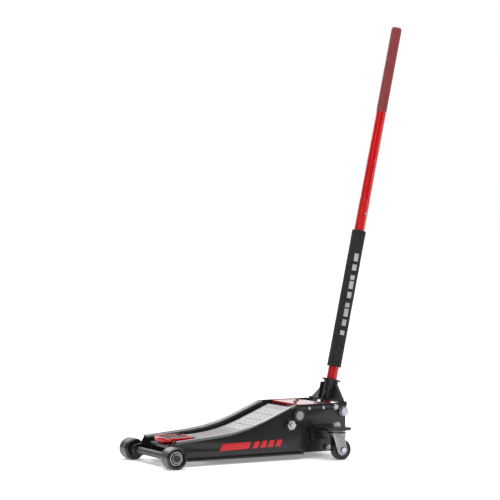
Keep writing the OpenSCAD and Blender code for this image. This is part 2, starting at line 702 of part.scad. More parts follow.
// Lower tube, closed at its foot by the cup that turns the release valve
module handle_lower_tube() color(red) on_handle() difference() {
    union() {
        translate([0, 0, tube_start]) cylinder(d = tube_d, h = joint_at - tube_start);
        cylinder(r = cup_r, h = tube_start + 1);
    }
    translate([0, 0, tube_start + 8]) cylinder(d = tube_d - 2 * tube_wall, h = joint_at);
    translate([0, 0, -1]) cylinder(r = ball_r + gap, h = 15);
    translate([-3, -cup_r - 1, -1]) cube([6, 2 * cup_r + 2, 9]);
    translate([0, 0, button_at]) rotate([-90, 0, 0]) cylinder(d = button_d + 2 * run, h = tube_d);
}
button_d = 8;
module foam_sleeve() color(black) on_handle() translate([0, 0, foam_at]) difference() {
    cylinder(d = tube_d + 2 * foam_t + 0.6, h = foam_len);
    translate([0, 0, -1]) cylinder(d = tube_d + 0.6, h = foam_len + 2);
}
module handle_upper_tube() color(red) on_handle() difference() {
    insert_d = tube_d - 2 * tube_wall - 2 * run;
    union() {
        translate([0, 0, joint_at - insert_len]) cylinder(d = insert_d, h = insert_len + 2);
        translate([0, 0, joint_at]) cylinder(d = upper_d, h = handle_len - joint_at);
        translate([0, 0, handle_len - grip_len]) cylinder(d = tube_d, h = grip_len);
    }
    translate([0, 0, joint_at - insert_len - 1]) cylinder(d = insert_d - 2 * tube_wall, h = handle_len - joint_at + 80);
    translate([0, 0, button_at]) rotate([-90, 0, 0]) cylinder(d = button_d + 2 * run, h = tube_d);
}
// Button that locks the two tubes: its foot is wider than the hole, and it slides in until it is flush
module snap_button() color(silver) on_handle() translate([0, 0, button_at]) {
    foot_y = tube_d / 2 - 2 * tube_wall - 3;
    bar_y(button_d + 3, foot_y - 2.5, foot_y + 0.5, 0, 0);
    bar_y(button_d, foot_y, tube_d / 2 + 3, 0, 0);
}

place() side_plate_left();
place() side_plate_right();
place() front_axle();
place() axle_spacers();
place() axle_snap_rings();
place() front_wheel_left();
place() front_wheel_right();
place() wheel_bearing_left();
place() wheel_bearing_right();
place() main_shaft();
place() shaft_collars();
place() shaft_spacers();
place() link_bolts();
place() link_nuts();
place() upper_tie_rod();
place() lower_tie_rod();
place() tie_rod_bolts();
place() caster_bracket_left();
place() caster_bracket_right();
place() caster_stems();
place() stem_nuts();
place() caster_races();
place() caster_fork_left();
place() caster_fork_right();
place() caster_axle_left();
place() caster_axle_right();
place() caster_wheel_left();
place() caster_wheel_right();
place() lift_arm();
place() arm_screws();
place() ram_cross_pin();
place() head_pivot_pins();
place() radius_link_left();
place() radius_link_right();
place() saddle_head();
place() link_pin();
place() saddle();
place() saddle_pad();
place() saddle_clip();
place() return_spring_left();
place() return_spring_right();
place() pump_block();
place() ram_cylinder();
place() gland_nut();
place() ram();
place() pump_plunger();
place() release_valve();
place() valve_gland();
place() filler_plug();
place() power_cover();
place() cover_side_screws();
place() cover_top_screws();
place() handle_socket();
place() socket_pivot_bolts();
place() pump_roller();
place() roller_pin();
place() handle_lower_tube();
place() foam_sleeve();
place() handle_upper_tube();
place() snap_button();
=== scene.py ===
import json
import math

import bmesh
import bpy
from mathutils import Matrix, Vector


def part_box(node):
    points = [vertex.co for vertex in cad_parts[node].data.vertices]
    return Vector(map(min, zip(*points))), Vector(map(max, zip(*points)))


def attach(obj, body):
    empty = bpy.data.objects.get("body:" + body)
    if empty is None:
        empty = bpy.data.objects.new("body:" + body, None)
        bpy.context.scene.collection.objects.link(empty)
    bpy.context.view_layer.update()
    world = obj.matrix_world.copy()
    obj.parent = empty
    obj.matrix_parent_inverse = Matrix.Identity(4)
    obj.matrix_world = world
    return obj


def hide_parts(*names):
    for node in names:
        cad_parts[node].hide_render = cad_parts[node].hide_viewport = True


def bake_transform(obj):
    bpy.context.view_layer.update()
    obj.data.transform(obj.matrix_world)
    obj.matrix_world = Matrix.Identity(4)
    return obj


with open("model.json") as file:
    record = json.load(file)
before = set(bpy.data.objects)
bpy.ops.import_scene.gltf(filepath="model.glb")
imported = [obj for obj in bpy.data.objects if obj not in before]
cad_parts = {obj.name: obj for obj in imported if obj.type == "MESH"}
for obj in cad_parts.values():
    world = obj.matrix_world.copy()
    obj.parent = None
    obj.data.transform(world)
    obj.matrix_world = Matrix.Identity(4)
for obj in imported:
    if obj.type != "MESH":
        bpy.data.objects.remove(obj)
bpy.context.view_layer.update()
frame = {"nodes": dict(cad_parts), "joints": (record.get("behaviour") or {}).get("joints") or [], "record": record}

MM = 0.001
scene = bpy.context.scene

# Each side's name, and whether a piece made for the left side is mirrored to get it
SIDES = (("left", False), ("right", True))

# ---- Places that the pieces share, read from the CAD nodes ----


def middle(node):
    low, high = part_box(node)
    return (low + high) / 2


joints = {joint["name"]: joint for joint in frame["joints"]}
handle_axis = Vector(joints["handle_twist"]["axis"]).normalized()
handle_foot = Vector(joints["handle_pivot"]["pos_m"])
handle_turn = Vector((0, 0, 1)).rotation_difference(handle_axis).to_matrix().to_4x4()
on_handle = Matrix.Translation(handle_foot) @ handle_turn

# ---- Node helpers ----


def new_material(name, base, rough, metallic=0.0, coat=0.0, specular=0.5):
    material = bpy.data.materials.new(name)
    material.use_nodes = True
    nodes = material.node_tree.nodes
    shader = nodes["Principled BSDF"]
    shader.inputs["Base Color"].default_value = (*base, 1)
    shader.inputs["Roughness"].default_value = rough
    shader.inputs["Metallic"].default_value = metallic
    shader.inputs["Coat Weight"].default_value = coat
    shader.inputs["Coat Roughness"].default_value = 0.05
    shader.inputs["Specular IOR Level"].default_value = specular
    return material, nodes, material.node_tree.links, shader


def coordinates(nodes, links, stretch=(1, 1, 1), turn=(0, 0, 0)):
    place = nodes.new("ShaderNodeTexCoord")
    mapping = nodes.new("ShaderNodeMapping")
    mapping.inputs["Scale"].default_value = stretch
    mapping.inputs["Rotation"].default_value = turn
    links.new(place.outputs["Object"], mapping.inputs["Vector"])
    return mapping.outputs["Vector"]


def noise(nodes, links, vector, scale, detail=4.0, rough=0.55):
    texture = nodes.new("ShaderNodeTexNoise")
    texture.inputs["Scale"].default_value = scale
    texture.inputs["Detail"].default_value = detail
    texture.inputs["Roughness"].default_value = rough
    links.new(vector, texture.inputs["Vector"])
    return texture.outputs["Fac"]


def ramp(nodes, links, value, stops):
    node = nodes.new("ShaderNodeValToRGB")
    links.new(value, node.inputs["Fac"])
    elements = node.color_ramp.elements
    for index, (at, colour) in enumerate(stops):
        element = elements[index] if index < 2 else elements.new(at)
        element.position = at
        element.color = (*colour, 1) if len(colour) == 3 else colour
    return node.outputs["Color"]


def grey(value):
    return (value, value, value)


def spread(nodes, links, value, low, high):
    node = nodes.new("ShaderNodeMapRange")
    node.inputs["From Min"].default_value = 0.3
    node.inputs["From Max"].default_value = 0.7
    node.inputs["To Min"].default_value = low
    node.inputs["To Max"].default_value = high
    links.new(value, node.inputs["Value"])
    return node.outputs["Result"]


def maths(nodes, links, operation, first, second=None):
    node = nodes.new("ShaderNodeMath")
    node.operation = operation
    for socket, value in zip(node.inputs, (first, second)):
        if value is None:
            continue
        if isinstance(value, (int, float)):
            socket.default_value = value
        else:
            links.new(value, socket)
    return node.outputs[0]


def bump(nodes, links, height, shader, distance, strength=0.5, edge=0.0007):
    rounding = nodes.new("ShaderNodeBevel")
    rounding.samples = 4
    rounding.inputs["Radius"].default_value = edge
    node = nodes.new("ShaderNodeBump")
    node.inputs["Strength"].default_value = strength
    node.inputs["Distance"].default_value = distance
    links.new(rounding.outputs["Normal"], node.inputs["Normal"])
    links.new(height, node.inputs["Height"])
    links.new(node.outputs["Normal"], shader.inputs["Normal"])


def worn_edges(nodes, links, vector, amount):
    """Where edges are rubbed: high on outside edges, broken up by noise."""
    geometry = nodes.new("ShaderNodeNewGeometry")
    breakup = noise(nodes, links, vector, 160.0, 5.0, 0.7)
    edge = maths(nodes, links, "SUBTRACT", geometry.outputs["Pointiness"], 0.56)
    sharp = maths(nodes, links, "MULTIPLY", edge, 9.0)
    broken = maths(nodes, links, "SUBTRACT", sharp, breakup)
    scaled = maths(nodes, links, "MULTIPLY", broken, amount)
    clamp = nodes.new("ShaderNodeClamp")
    links.new(scaled, clamp.inputs["Value"])
    return clamp.outputs["Result"]


# ---- Materials ----


def paint(name, base, shade, rough, coat=0.6, specular=0.5, peel=0.00012, wear=0.5):
    """Sprayed paint: faint mottling, orange peel, fine dust and rubbed edges."""
    material, nodes, links, shader = new_material(name, base, rough, coat=coat, specular=specular)
    vector = coordinates(nodes, links)
    mottle = noise(nodes, links, vector, 14.0, 6.0)
    colour = ramp(nodes, links, mottle, [(0.3, shade), (0.72, base)])
    mix = nodes.new("ShaderNodeMixRGB")
    links.new(worn_edges(nodes, links, vector, wear), mix.inputs["Fac"])
    links.new(colour, mix.inputs["Color1"])
    mix.inputs["Color2"].default_value = (*[min(1, c * 1.6 + 0.04) for c in base], 1)
    links.new(mix.outputs["Color"], shader.inputs["Base Color"])
    dust = noise(nodes, links, vector, 45.0, 8.0, 0.65)
    links.new(spread(nodes, links, dust, rough * 0.8, rough * 1.35), shader.inputs["Roughness"])
    bump(nodes, links, noise(nodes, links, vector, 900.0, 3.0), shader, peel, 0.35)
    return material


def metal(name, base, shade, rough, grain=(1, 1, 1), scratch=0.00008, edge=0.0005):
    """Bare or plated metal, with a grain stretched along one axis and cloudy roughness."""
    material, nodes, links, shader = new_material(name, base, rough, metallic=1.0)
    vector = coordinates(nodes, links, grain)
    cloud = noise(nodes, links, coordinates(nodes, links), 60.0, 5.0)
    links.new(ramp(nodes, links, cloud, [(0.3, shade), (0.7, base)]), shader.inputs["Base Color"])
    lines = noise(nodes, links, vector, 500.0, 4.0, 0.7)
    links.new(spread(nodes, links, lines, rough * 0.7, rough * 1.5), shader.inputs["Roughness"])
    bump(nodes, links, lines, shader, scratch, 0.4, edge)
    return material


def moulded(name, base, shade, rough, fine, depth, coat=0.0):
    """Plastic or rubber with a fine pebbled skin."""
    material, nodes, links, shader = new_material(name, base, rough, coat=coat)
    vector = coordinates(nodes, links)
    cloud = noise(nodes, links, vector, 30.0, 7.0)
    links.new(ramp(nodes, links, cloud, [(0.3, shade), (0.7, base)]), shader.inputs["Base Color"])
    dust = noise(nodes, links, vector, 90.0, 5.0)
    links.new(spread(nodes, links, dust, rough * 0.85, min(1, rough * 1.2)), shader.inputs["Roughness"])
    bump(nodes, links, noise(nodes, links, vector, fine, 3.0), shader, depth, 0.6)
    return material


KNURL_PITCH, KNURL_STARTS = 1.6 * MM, 30


def knurled(name, base, shade, rough):
    """Painted diamond knurling round the handle's axis, its grooves coloured darker as painted shade."""
    material, nodes, links, shader = new_material(name, base, rough, coat=0.25)
    place = nodes.new("ShaderNodeTexCoord")
    turned = nodes.new("ShaderNodeMapping")
    tilt = math.atan2(-handle_axis.x, handle_axis.z)
    turned.vector_type = "TEXTURE"
    turned.inputs["Location"].default_value = handle_foot
    turned.inputs["Rotation"].default_value = (0, -tilt, 0)
    links.new(place.outputs["Object"], turned.inputs["Vector"])
    split = nodes.new("ShaderNodeSeparateXYZ")
    links.new(turned.outputs["Vector"], split.inputs[0])
    angle = maths(nodes, links, "ARCTAN2", split.outputs["Y"], split.outputs["X"])
    rise = maths(nodes, links, "MULTIPLY", split.outputs["Z"], math.pi / KNURL_PITCH)
    turns = maths(nodes, links, "MULTIPLY", angle, KNURL_STARTS)
    waves = []
    for way in ("ADD", "SUBTRACT"):
        wave = maths(nodes, links, "SINE", maths(nodes, links, way, turns, rise))
        waves.append(maths(nodes, links, "ABSOLUTE", wave))
    diamond = maths(nodes, links, "MULTIPLY", *waves)
    # The grooves get the darker colour: painted shade in the knurl's recesses.
    links.new(ramp(nodes, links, diamond, [(0.0, shade), (0.5, base)]), shader.inputs["Base Color"])
    links.new(spread(nodes, links, diamond, rough * 1.2, rough * 0.8), shader.inputs["Roughness"])
    bump(nodes, links, diamond, shader, 0.0004, 0.9)
    return material


# Each material has its colour, the darker shade it is clouded with, and its roughness
black_paint = paint("frame_black_paint", (0.0085, 0.0085, 0.009), (0.005, 0.005, 0.0055), 0.3,
                    coat=0.3, specular=0.35)
# The folded top flanges get a lighter, glossier copy of the frame's black paint: a painted highlight for the
# bright band the flanges catch from overhead.
flange_painted_highlight = paint("flange_black_painted_highlight", (0.045, 0.045, 0.048), (0.03, 0.03, 0.033), 0.24,
                     coat=1.0, specular=0.8)
satin_black = paint("black_oxide", (0.014, 0.014, 0.015), (0.008, 0.008, 0.009), 0.38,
                    coat=0.2, specular=0.35)
red_paint = paint("gloss_red_paint", (0.52, 0.002, 0.004), (0.42, 0.001, 0.003), 0.2,
                  coat=0.5, specular=0.3)
cover_red = paint("cover_red_paint", (0.46, 0.003, 0.006), (0.38, 0.002, 0.004), 0.2,
                  coat=0.9, specular=0.4)
# The grip's darker colour is painted shade, laid into the knurl's grooves.
grip_red = knurled("knurled_red_grip", (0.3, 0.022, 0.028), (0.12, 0.008, 0.01), 0.5)
zinc = metal("zinc_plate", (0.5, 0.51, 0.53), (0.34, 0.35, 0.37), 0.26)
chrome = metal("chrome_plate", (0.55, 0.56, 0.58), (0.42, 0.43, 0.45), 0.16)
fork_plate = metal("fork_plate", (0.33, 0.33, 0.34), (0.22, 0.22, 0.23), 0.3)
steel = metal("brushed_steel", (0.42, 0.42, 0.44), (0.3, 0.3, 0.32), 0.33, grain=(1, 12, 12))
cast = moulded("cast_iron", (0.02, 0.02, 0.022), (0.01, 0.01, 0.011), 0.55, 260.0, 0.0005)
wheel_black = moulded("wheel_enamel", (0.007, 0.007, 0.008), (0.004, 0.004, 0.005), 0.24, 500.0, 0.00004,
                      coat=0.12)
tread_black = moulded("caster_tread", (0.016, 0.016, 0.017), (0.009, 0.009, 0.01), 0.42, 380.0, 0.0002)
pad_rubber = moulded("pad_rubber", (0.16, 0.16, 0.165), (0.08, 0.08, 0.085), 0.7, 300.0, 0.0003)
foam_black = moulded("foam_skin", (0.008, 0.008, 0.0085), (0.004, 0.004, 0.0045), 0.8, 650.0, 0.0005)

by_slot = {
    "frame_black": black_paint,
    "black_oxide": satin_black,
    "gloss_red": red_paint,
    "knurled_red": red_paint,
    "zinc": zinc,
    "chrome_plate": chrome,
    "steel": steel,
    "cast_black": cast,
    "black_wheel": wheel_black,
    "pad_rubber": pad_rubber,
    "foam": foam_black,
}


def dress(obj, material):
    obj.data.materials.clear()
    obj.data.materials.append(material)


for part in frame["record"]["subparts"]:
    dress(frame["nodes"][part["node"]], by_slot[part["material_slot"]])
for name in ("caster_wheel_left", "caster_wheel_right"):
    dress(frame["nodes"][name], tread_black)

# ---- Mesh helpers: lengths in millimetres from the front axle's centre line ----

X0 = middle("front_axle").x


def at(x, y, z):
    return Vector((X0 + x * MM, y * MM, z * MM))


def rounded(corners):
    """Closed outline from corners (x, z, radius), with an arc at each one that has a radius."""
    outline = []
    count = len(corners)
    for index, (x, z, radius) in enumerate(corners):
        here = Vector((x, z))
        before = (Vector(corners[index - 1][:2]) - here).normalized()
        after = (Vector(corners[(index + 1) % count][:2]) - here).normalized()
        if not radius:
            outline.append(here)
            continue
        half = math.acos(max(-1, min(1, before.dot(after)))) / 2
        centre = here + (before + after).normalized() * radius / math.sin(half)
        first = here + before * radius / math.tan(half) - centre
        last = here + after * radius / math.tan(half) - centre
        sign = 1 if first.x * last.y - first.y * last.x > 0 else -1
        sweep = sign * (math.pi - 2 * half)
        steps = max(3, math.ceil(abs(sweep) / math.radians(6)))
        for step in range(steps + 1):
            turn = sweep * step / steps
            outline.append(centre + Vector((first.x * math.cos(turn) - first.y * math.sin(turn),
                                            first.x * math.sin(turn) + first.y * math.cos(turn))))
    return outline


def circle(x, z, radius, count=48):
    turns = [2 * math.pi * i / count for i in range(count)]
    return [Vector((x + radius * math.cos(turn), z + radius * math.sin(turn))) for turn in turns]


def sharpen(data, angle=30):
    for face in data.polygons:
        face.use_smooth = True
    data.set_sharp_from_angle(angle=math.radians(angle))


def piece(name, parts, body, material, replaces=(), angle=30, flip=False, flat_over=None):
    """Joins bmesh parts into one piece that rides on a body; flip mirrors it to the right side.

    Faces larger than flat_over square millimetres are shaded flat, so that their rounded edges don't tint them.
    """
    mesh = bmesh.new()
    for part in parts:
        data = bpy.data.meshes.new("part")
        part.to_mesh(data)
        part.free()
        mesh.from_mesh(data)
        bpy.data.meshes.remove(data)
    if flip:
        bmesh.ops.transform(mesh, matrix=Matrix.Scale(-1, 4, (0, 1, 0)), verts=mesh.verts)
    bmesh.ops.recalc_face_normals(mesh, faces=mesh.faces)
    data = bpy.data.meshes.new(name)
    mesh.to_mesh(data)
    mesh.free()
    sharpen(data, angle)
    if flat_over:
        for face in data.polygons:
            face.use_smooth = face.area < flat_over * MM * MM
    obj = bpy.data.objects.new(name, data)
    scene.collection.objects.link(obj)
    dress(obj, material)
    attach(obj, body)
    if replaces:
        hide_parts(*replaces)
    return obj


def mesh_of(curve):
    """The mesh data that a curve makes; the curve itself is removed."""
    obj = bpy.data.objects.new("outline", curve)
    scene.collection.objects.link(obj)
    data = bpy.data.meshes.new_from_object(obj)
    bpy.data.objects.remove(obj)
    bpy.data.curves.remove(curve)
    return data


def editable(data):
    """Mesh data moved into a new bmesh."""
    mesh = bmesh.new()
    mesh.from_mesh(data)
    bpy.data.meshes.remove(data)
    return mesh


def wire(line, radius, resolution, closed):
    """Mesh data of a round wire along points in metres: a closed loop, or open with capped ends."""
    curve = bpy.data.curves.new("wire", "CURVE")
    curve.dimensions = "3D"
    curve.bevel_depth = radius * MM
    curve.bevel_resolution = resolution
    curve.use_fill_caps = not closed
    spline = curve.splines.new("POLY")
    spline.points.add(len(line) - 1)
    for point, place in zip(spline.points, line):
        point.co = (*place, 1)
    spline.use_cyclic_u = closed
    return mesh_of(curve)


def skin(mesh, rows, closed):
    """Faces from each ring of points to the next. A closed run meets its start, an open one gets end caps."""
    for low, high in zip(rows, rows[1:] + rows[:1] * closed):
        count = len(low)
        for i in range(count):
            mesh.faces.new((low[i], low[(i + 1) % count], high[(i + 1) % count], high[i]))
    if not closed:
        mesh.faces.new(rows[0])
        mesh.faces.new(list(reversed(rows[-1])))


def plate(outline, y0, y1, edge, holes=()):
    """A flat plate in the X-Z plane from y0 to y1, with rounded edges and holes."""
    curve = bpy.data.curves.new("plate", "CURVE")
    curve.dimensions = "2D"
    curve.fill_mode = "BOTH"
    curve.extrude = (abs(y1 - y0) / 2 - edge) * MM
    curve.bevel_depth = edge * MM
    curve.bevel_resolution = 2
    curve.offset = -edge * MM
    for loop in (outline, *holes):
        spline = curve.splines.new("POLY")
        spline.points.add(len(loop) - 1)
        for point, (x, z) in zip(spline.points, loop):
            point.co = (X0 + x * MM, z * MM, 0, 1)
        spline.use_cyclic_u = True
    mesh = editable(mesh_of(curve))
    stand = Matrix.Translation((0, (y0 + y1) / 2 * MM, 0)) @ Matrix.Rotation(math.pi / 2, 4, "X")
    bmesh.ops.transform(mesh, matrix=stand, verts=mesh.verts)
    bmesh.ops.remove_doubles(mesh, verts=mesh.verts, dist=1e-6)
    return mesh


def sweep(path, section):
    """A solid strip: section points (y, depth) carried along a path of (x, z) points, depth below the path."""
    mesh = bmesh.new()
    rows = []
    for index, here in enumerate(path):
        before = path[max(index - 1, 0)]
        after = path[min(index + 1, len(path) - 1)]
        along = (after - before).normalized()
        down = Vector((along.y, -along.x))
        if down.y > 0:
            down.negate()
        places = [at(here.x + down.x * depth, y, here.y + down.y * depth) for y, depth in section]
        rows.append([mesh.verts.new(place) for place in places])
    skin(mesh, rows, closed=False)
    bmesh.ops.remove_doubles(mesh, verts=mesh.verts, dist=1e-6)
    return mesh


def arc(centre, radius, start, end, steps=6):
    """Points of an arc between two angles in degrees."""
    return [(centre[0] + radius * math.cos(math.radians(start + (end - start) * i / steps)),
             centre[1] + radius * math.sin(math.radians(start + (end - start) * i / steps)))
            for i in range(steps + 1)]


def lathe(profile, matrix, steps=64):
    """Turns a closed (radius, rise) profile round local Z; matrix places it."""
    mesh = bmesh.new()
    rows = []
    for step in range(steps):
        turn = 2 * math.pi * step / steps
        rows.append([mesh.verts.new(matrix @ Vector((r * MM * math.cos(turn), r * MM * math.sin(turn), z * MM)))
                     for r, z in profile])
    skin(mesh, rows, closed=True)
    bmesh.ops.remove_doubles(mesh, verts=mesh.verts, dist=1e-7)
    bmesh.ops.dissolve_degenerate(mesh, edges=mesh.edges, dist=1e-7)
    return mesh


def bevelled(node, width, segments=3, angle=34):
    """The CAD node's shape with its sharp edges rounded, as a new mesh."""
    mesh = bmesh.new()
    mesh.from_mesh(frame["nodes"][node].data)
    bmesh.ops.remove_doubles(mesh, verts=mesh.verts, dist=1e-5)
    bmesh.ops.dissolve_limit(mesh, angle_limit=math.radians(1), verts=mesh.verts, edges=mesh.edges)
    edges = [edge for edge in mesh.edges if edge.is_manifold and edge.calc_face_angle(0) > math.radians(angle)]
    bmesh.ops.bevel(mesh, geom=edges, offset=width * MM, offset_type="OFFSET", segments=segments, profile=0.5,
                    affect="EDGES", clamp_overlap=True)
    return mesh


def y_axis(x, y, z):
    """Stands a lathe's axis along Y at a place."""
    return Matrix.Translation(at(x, y, z)) @ Matrix.Rotation(-math.pi / 2, 4, "X")


# ---- Side plates ----

PLATE_IN, PLATE_OUT = 87, 92
RAMP, RISE_X, FRAME_TOP, TOE = 0.41, -388, 152, (-20, 70)
BEND_X = -228.7
plate_corners = [
    (16, 14, 12), (16, 46, 12), (-6, 48, 8), (*TOE, 6),
    (BEND_X, FRAME_TOP - RAMP * (BEND_X - RISE_X), 480), (RISE_X, FRAME_TOP, 60),
    (-564, FRAME_TOP, 22), (-564, 17, 6), (-419, 17, 0), (-419, 14, 0),
]
plate_line = rounded(plate_corners)
FLANGE_REAR, FLANGE_FRONT, FOLD = -394, -22.5, 8.0
top_path = [p for p in plate_line if FLANGE_REAR < p.x < FLANGE_FRONT and p.y > 60]
# Along the flange, the upright web stops where the fold begins
web_line = []
for point in plate_line:
    if point in top_path:
        web_line.append(Vector((point.x, point.y - FOLD)))
    if point not in top_path or point == top_path[-1]:
        web_line.append(Vector(point))
FLANGE_THICK, FLANGE_OUT = 5, 103
fold_section = (
    arc((PLATE_IN + FOLD, FOLD), FOLD, 180, 270)
    + [(FLANGE_OUT, 0)]
    + arc((FLANGE_OUT, FLANGE_THICK / 2), FLANGE_THICK / 2, 270, 450, 8)
    + [(FLANGE_OUT, FLANGE_THICK)]
    + arc((PLATE_IN + FOLD, FOLD), FOLD - FLANGE_THICK, 270, 180)
    + [(PLATE_OUT, FOLD + 2), (PLATE_IN, FOLD + 2)]
)
plate_holes = [circle(-490, 140, 2.6), circle(-444, 140, 2.6)]
for side, flip in SIDES:
    foot = [Vector(p) for p in ((-32, 14), (-419, 14), (-419, 19), (-32, 19))]
    parts = [plate(web_line, PLATE_IN, PLATE_OUT, 1.0, plate_holes), plate(foot, PLATE_OUT - 2, 106, 1.2)]
    piece(f"side_plate_skin_{side}", parts, "root", black_paint, [f"side_plate_{side}"],
          flip=flip)
    # The flange wears the lighter black, a painted highlight along the fold.
    piece(f"side_plate_flange_{side}", [sweep(top_path, fold_section)], "root", flange_painted_highlight,
          flip=flip)

# ---- Lift arm ----

SHAFT, SHAFT_BORE = (-409, 122), 12.05
HEAD_PIVOT, HEAD_BORE = (-68.4, 49.2), 7.05
ARM_BEND = (-232.9, 74.1)
ARM_IN, ARM_OUT, ARM_LIP = 69, 75, 58
ARM_FOLD, ARM_CUT, ARM_REAR = 6.5, -121.5, -412
arm_corners = [
    (HEAD_PIVOT[0], 64.2, 0), (*ARM_BEND, 450), (-401, 143, 5), (-423, 140, 8), (-429, 96, 14),
    (ARM_BEND[0], 41.2, 300), (HEAD_PIVOT[0], 33.2, 0),
]
arm_line = rounded(arm_corners)
arm_rear_at = next(index for index, point in enumerate(arm_line) if point.x < ARM_REAR)
arm_top = arm_line[:arm_rear_at]


def arm_section(inner, outer):
    """Half of the folded channel: from inner (where the flat stops) round the fold to the cheek."""
    thick = ARM_OUT - ARM_IN
    return (
        [(inner, 0)]
        + arc((outer - ARM_FOLD, ARM_FOLD), ARM_FOLD, 270, 360)
        + [(outer, ARM_FOLD + 3), (outer - thick, ARM_FOLD + 3)]
        + arc((outer - ARM_FOLD, ARM_FOLD), ARM_FOLD - thick, 360, 270, 2)
        + [(inner, thick)]
    )


def mirrored(section):
    """A section's other half, on the right side."""
    return [(-y, d) for y, d in reversed(section)]


def point_on(path, x):
    """The path's point at a distance x along the jack."""
    ordered = sorted(path, key=lambda p: p.x)
    for a, b in zip(ordered, ordered[1:]):
        if a.x <= x <= b.x:
            return a.lerp(b, (x - a.x) / (b.x - a.x))
    return ordered[0].copy() if x < ordered[0].x else ordered[-1].copy()


def resample(path, low, high, step=8):
    """The stretch of a path between two distances, in even steps."""
    count = max(2, math.ceil((high - low) / step))
    return [point_on(path, low + (high - low) * i / count) for i in range(count + 1)]


half_section = arm_section(0, ARM_OUT)[1:-1]
full_section = half_section + mirrored(half_section)
cheek_line = [Vector((p.x, p.y - ARM_FOLD)) for p in arm_top] + arm_line[arm_rear_at:]
SLEEVE_R, SLEEVE_HALF = 18, 74
arm_parts = [sweep(resample(arm_top, -408, ARM_CUT), full_section)]
for mirror in (1, -1):
    section = arm_section(ARM_LIP, ARM_OUT)
    arm_parts.append(sweep(resample(arm_top, ARM_CUT, -70), section if mirror > 0 else mirrored(section)))
    cheek_y = sorted((ARM_IN * mirror, ARM_OUT * mirror))
    arm_parts.append(plate(cheek_line, *cheek_y, 1.0, [circle(*SHAFT, SHAFT_BORE)]))
    arm_parts.append(plate(circle(*HEAD_PIVOT, 17), *cheek_y, 1.0, [circle(*HEAD_PIVOT, HEAD_BORE)]))
    crank_y = sorted((16 * mirror, 24 * mirror))
    crank_line = rounded([(-420, 132, 8), (-396, 132, 8), (-421, 76, 12), (-447, 80, 12)])
    arm_parts.append(plate(crank_line, *crank_y, 1.0))
sleeve = [
    (SHAFT_BORE, -SLEEVE_HALF), (SLEEVE_R, -SLEEVE_HALF), (SLEEVE_R, SLEEVE_HALF), (SHAFT_BORE, SLEEVE_HALF),
]
arm_parts.append(lathe(sleeve, y_axis(SHAFT[0], 0, SHAFT[1])))
piece("lift_arm_skin", arm_parts, "lift_arm", black_paint, ["lift_arm"])

# ---- Saddle ----

SADDLE_X, SADDLE_Z = -64, 57.3
on_saddle = Matrix.Translation(at(SADDLE_X, 0, SADDLE_Z))
DISH_FLOOR, POST_R, POST_FOOT = 7.2, 11, -31
dish = (
    [(POST_R, 0), (36, 0)]
    + arc((40, 4), 4, -90, -40, 3)
    + [(50.5, 5.2)]
    + arc((49.5, 8), 3, -45, 0, 3)
    + arc((49.5, 13.7), 3, 0, 90, 5)
    + arc((44, 14.7), 2, 90, 150, 4)
    + [(40.5, DISH_FLOOR), (0, DISH_FLOOR), (0, POST_FOOT), (POST_R, POST_FOOT)]
)
# Notches: the angle each is centred on in its quarter, half its width and its slope in degrees, and its depth
NOTCH_AT, NOTCH_HALF, NOTCH_SLOPE, NOTCH_DEEP = 45, 9.5, 2.5, 3.2
RIM_FOOT, RIM_HIGH, RIM_INSIDE = 11, 5.7, 38


def saddle_dish():
    """The saddle's dish, with four notches sunk in its rim."""
    mesh = lathe(dish, on_saddle, 144)
    for vert in mesh.verts:
        local = on_saddle.inverted() @ vert.co
        turn = math.degrees(math.atan2(local.y, local.x)) % 90
        sunk = min(1, max(0, (NOTCH_HALF - abs(turn - NOTCH_AT)) / NOTCH_SLOPE))
        if local.z > RIM_FOOT * MM and math.hypot(local.x, local.y) > RIM_INSIDE * MM:
            vert.co.z -= NOTCH_DEEP * MM * sunk * (local.z / MM - RIM_FOOT) / RIM_HIGH
    return mesh


STUD_HIGH = 1.2


def pad_grid(radius, top, pitch):
    """The pad's top: a round grid of low square studs."""
    mesh = bmesh.new()
    lines = []
    count = int(radius // pitch) + 1
    for i in range(-count, count + 1):
        lines += [i * pitch + share * pitch for share in (-0.36, -0.2, 0.2, 0.36)]
    grid = {}
    for i, x in enumerate(lines):
        for j, y in enumerate(lines):
            if math.hypot(x, y) < radius - 1.2:
                raised = i % 4 in (1, 2) and j % 4 in (1, 2)
                height = top if raised else top - STUD_HIGH
                grid[i, j] = mesh.verts.new(on_saddle @ Vector((x * MM, y * MM, height * MM)))
    for i, j in list(grid):
        corners = [grid.get(k) for k in ((i, j), (i + 1, j), (i + 1, j + 1), (i, j + 1))]
        if all(corners):
            mesh.faces.new(corners)
    return mesh


pad_rim = (
    [(0, DISH_FLOOR), (39.4, DISH_FLOOR)]
    + arc((38.2, 13.2), 1.2, 0, 90, 4)
    + [(36.5, 14.2), (36.5, 13.0), (0, 13.0)]
)
piece("saddle_dish", [saddle_dish()], "saddle", red_paint, ["saddle"])
piece("saddle_pad_studs", [lathe(pad_rim, on_saddle, 96), pad_grid(39.5, 15.0, 5.2)], "saddle", pad_rubber,
      ["saddle_pad"])

# ---- Front wheel bearings: a bright outer ring round a dark sunken face ----

WHEEL_R, BEARING_BORE, RIM_WIDE = 30, 10.6, 3.2

